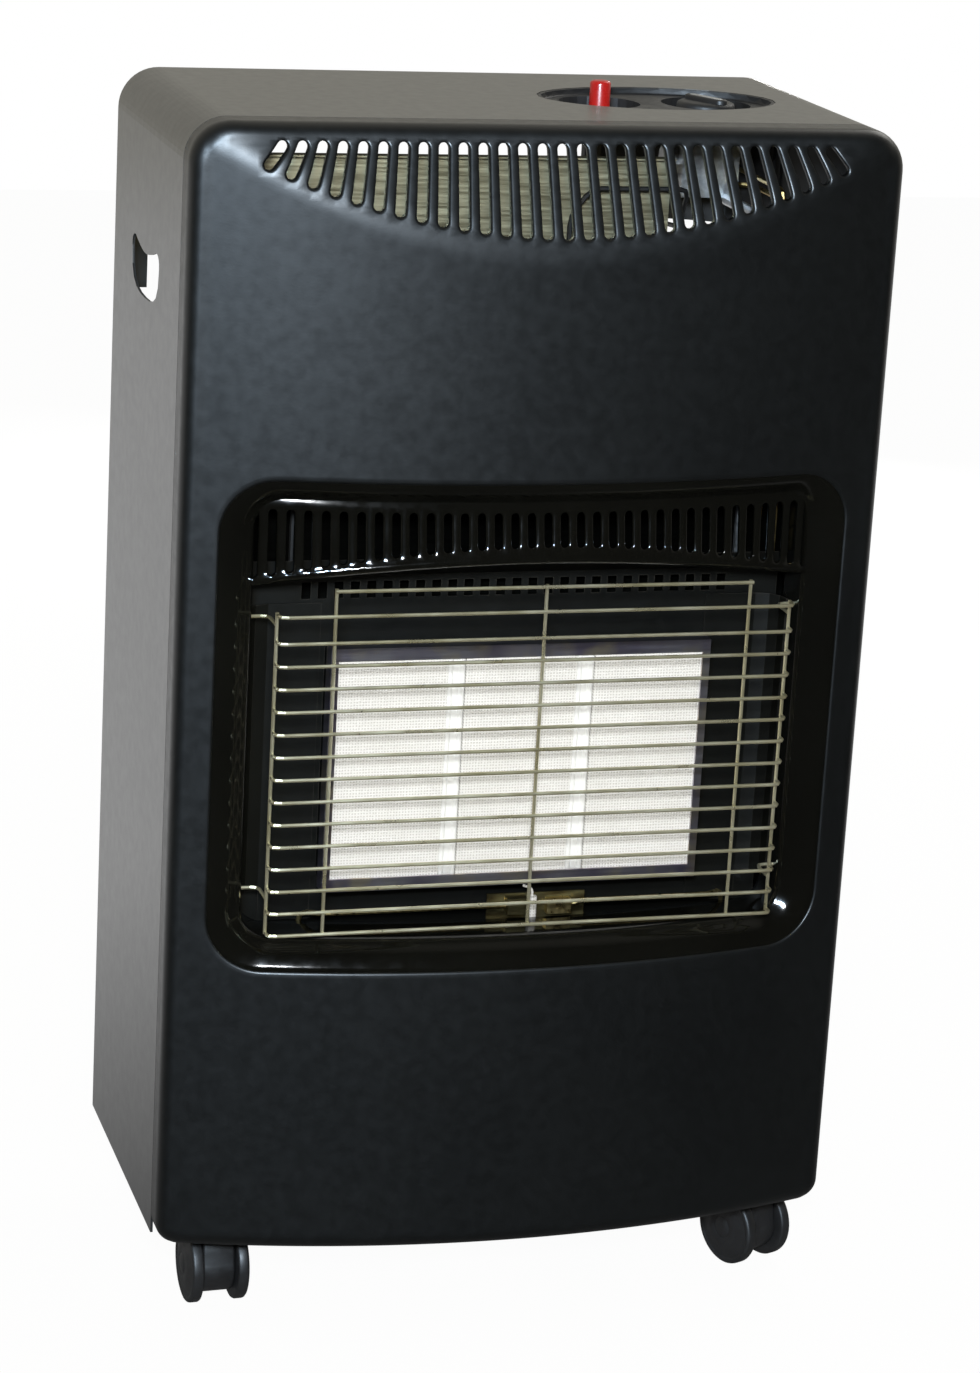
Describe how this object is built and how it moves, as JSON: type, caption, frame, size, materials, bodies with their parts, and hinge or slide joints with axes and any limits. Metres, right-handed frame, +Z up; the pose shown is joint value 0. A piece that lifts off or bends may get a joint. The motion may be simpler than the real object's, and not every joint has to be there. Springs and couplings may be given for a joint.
{
  "type": "portable gas cabinet heater",
  "caption": "Upright cabinet heater on casters: bowed front, louvred scoop at the top, enamelled window frame with a wire guard over a ceramic radiant burner, sliding cylinder bay behind.",
  "frame": {"origin": "on the floor, under the middle of the bounding box", "axes": "+X to the right seen from the front, +Y to the back, +Z up; the front faces -Y"},
  "size_m": [0.42, 0.247, 0.731],
  "materials": {
    "satin_black": "satin powder coat, near black with a blue tinge",
    "enamel_black": "gloss black enamel",
    "dark_steel": "heat-darkened sheet steel",
    "wire": "bright plated wire with a warm tone",
    "tinted_steel": "bright steel, heat-tinted purple grey",
    "plated_steel": "yellowish zinc-plated sheet",
    "zinc_steel": "zinc-plated steel",
    "ceramic_white": "matt off-white ceramic",
    "brass": "plain brass",
    "aluminium": "cast and drawn aluminium",
    "plastic_black": "black plastic",
    "lead_black": "black insulated lead",
    "button_red": "red plastic"
  },
  "bodies": {
    "cabinet": {"cabinet_shell": "satin_black", "front_panel": "satin_black", "rear_brace": "satin_black", "base_pan": "zinc_steel", "runner_rail_left": "zinc_steel", "runner_rail_right": "zinc_steel", "window_bezel": "enamel_black", "guard_grille": "wire", "guard_hanger_left": "wire", "guard_hanger_right": "wire", "ceramic_plaque_1": "ceramic_white", "ceramic_plaque_2": "ceramic_white", "ceramic_plaque_3": "ceramic_white", "plaque_spacer_1": "ceramic_white", "plaque_spacer_2": "ceramic_white", "spark_electrode": "ceramic_white", "burner_frame": "tinted_steel", "plenum_box": "dark_steel", "burner_backplate": "dark_steel", "reflector_left": "dark_steel", "reflector_right": "dark_steel", "lower_tray": "dark_steel", "top_deflector": "dark_steel", "heat_shield": "plated_steel", "pilot_burner": "brass", "pilot_tube": "brass", "thermocouple": "brass", "injector_manifold": "brass", "hose_nozzle": "brass", "ignition_lead": "lead_black", "supply_pipe": "aluminium", "gas_valve": "aluminium", "control_panel": "plastic_black", "igniter_body": "plastic_black"},
    "bay": {"bay_side_left": "satin_black", "bay_side_right": "satin_black", "bay_floor": "zinc_steel", "runner_slider_left": "zinc_steel", "runner_slider_right": "zinc_steel", "door_hinge_pin": "zinc_steel"},
    "rear_door": {"rear_door": "satin_black"},
    "igniter_button": {"igniter_button": "button_red"},
    "valve_stem": {"valve_stem": "brass"},
    "control_knob": {"control_knob": "plastic_black"},
    "caster_front_left": {"caster_hood_front_left": "plastic_black"},
    "wheels_front_left": {"caster_axle_front_left": "zinc_steel", "caster_wheel_a_front_left": "plastic_black", "caster_wheel_b_front_left": "plastic_black"},
    "caster_front_right": {"caster_hood_front_right": "plastic_black"},
    "wheels_front_right": {"caster_axle_front_right": "zinc_steel", "caster_wheel_a_front_right": "plastic_black", "caster_wheel_b_front_right": "plastic_black"},
    "caster_rear_left": {"caster_hood_rear_left": "plastic_black"},
    "wheels_rear_left": {"caster_axle_rear_left": "zinc_steel", "caster_wheel_a_rear_left": "plastic_black", "caster_wheel_b_rear_left": "plastic_black"},
    "caster_rear_right": {"caster_hood_rear_right": "plastic_black"},
    "wheels_rear_right": {"caster_axle_rear_right": "zinc_steel", "caster_wheel_a_rear_right": "plastic_black", "caster_wheel_b_rear_right": "plastic_black"}
  },
  "joints": [
    {"name": "bay_slide", "type": "slide", "parent": "cabinet", "child": "bay", "axis": [0, 1, 0], "range_m": [0, 0.12]},
    {"name": "rear_door_hinge", "type": "hinge", "parent": "bay", "child": "rear_door", "pos_m": [-0.1975, 0.1201, 0.3], "axis": [0, 0, 1], "range_deg": [0, 110]},
    {"name": "igniter_press", "type": "slide", "parent": "cabinet", "child": "igniter_button", "axis": [0, 0, -1], "range_m": [0, 0.005], "stiffness_N_per_m": 900, "springref_m": -0.003},
    {"name": "knob_press", "type": "slide", "parent": "cabinet", "child": "valve_stem", "axis": [0, 0, -1], "range_m": [0, 0.004], "stiffness_N_per_m": 1500, "springref_m": -0.003},
    {"name": "knob_turn", "type": "hinge", "parent": "valve_stem", "child": "control_knob", "pos_m": [0.129, 0.0315, 0.715], "axis": [0, 0, 1], "range_deg": [0, 180]},
    {"name": "swivel_front_left", "type": "hinge", "parent": "cabinet", "child": "caster_front_left", "pos_m": [-0.169, -0.0385, 0.05], "axis": [0, 0, 1], "continuous": true},
    {"name": "roll_front_left", "type": "hinge", "parent": "caster_front_left", "child": "wheels_front_left", "pos_m": [-0.1683, -0.05849, 0.024], "axis": [0.9994, 0.0349, 0], "continuous": true},
    {"name": "swivel_front_right", "type": "hinge", "parent": "cabinet", "child": "caster_front_right", "pos_m": [0.169, -0.0385, 0.05], "axis": [0, 0, 1], "continuous": true},
    {"name": "roll_front_right", "type": "hinge", "parent": "caster_front_right", "child": "wheels_front_right", "pos_m": [0.1763, -0.05712, 0.024], "axis": [0.9311, 0.3649, 0], "continuous": true},
    {"name": "swivel_rear_left", "type": "hinge", "parent": "bay", "child": "caster_rear_left", "pos_m": [-0.12, 0.0745, 0.05], "axis": [0, 0, 1], "continuous": true},
    {"name": "roll_rear_left", "type": "hinge", "parent": "caster_rear_left", "child": "wheels_rear_left", "pos_m": [-0.11316, 0.09329, 0.024], "axis": [-0.9397, 0.342, 0], "continuous": true},
    {"name": "swivel_rear_right", "type": "hinge", "parent": "bay", "child": "caster_rear_right", "pos_m": [0.12, 0.0745, 0.05], "axis": [0, 0, 1], "continuous": true},
    {"name": "roll_rear_right", "type": "hinge", "parent": "caster_rear_right", "child": "wheels_rear_right", "pos_m": [0.11382, 0.09352, 0.024], "axis": [-0.9511, -0.309, 0], "continuous": true}
  ]
}
